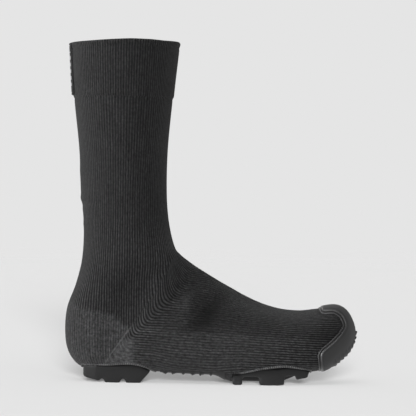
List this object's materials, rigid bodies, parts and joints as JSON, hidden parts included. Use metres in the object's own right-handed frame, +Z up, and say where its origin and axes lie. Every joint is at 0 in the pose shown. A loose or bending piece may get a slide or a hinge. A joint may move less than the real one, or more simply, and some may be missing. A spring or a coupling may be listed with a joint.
{
  "type": "cycling overshoe",
  "caption": "Tall ribbed knitted cycling overshoe with folded cuff, rubber toe cap and cut-outs, on a lugged riding sole.",
  "frame": {"origin": "on the floor under the middle bar of the heel tread", "axes": "+X to the toe, +Z up, +Y to the inner side of the foot"},
  "size_m": [0.2987, 0.1053, 0.3472],
  "materials": {
    "knit": "black fine ribbed knit, matt",
    "tread_rubber": "moulded black rubber, satin",
    "insole_cloth": "dark cloth, matt",
    "cap_rubber": "smooth moulded rubber, satin",
    "edge_tape": "overlocked knit edge, matt",
    "grip_rubber": "thin ribbed rubber, matt",
    "tab_cloth": "blank woven tab, matt"
  },
  "bodies": {
    "root": {"upper": "knit", "outsole": "tread_rubber", "insole": "insole_cloth", "toe_cap": "cap_rubber", "heel_cutout_tape": "edge_tape", "forefoot_cutout_tape": "edge_tape", "arch_grip": "grip_rubber", "rear_tab": "tab_cloth"}
  },
  "joints": []
}
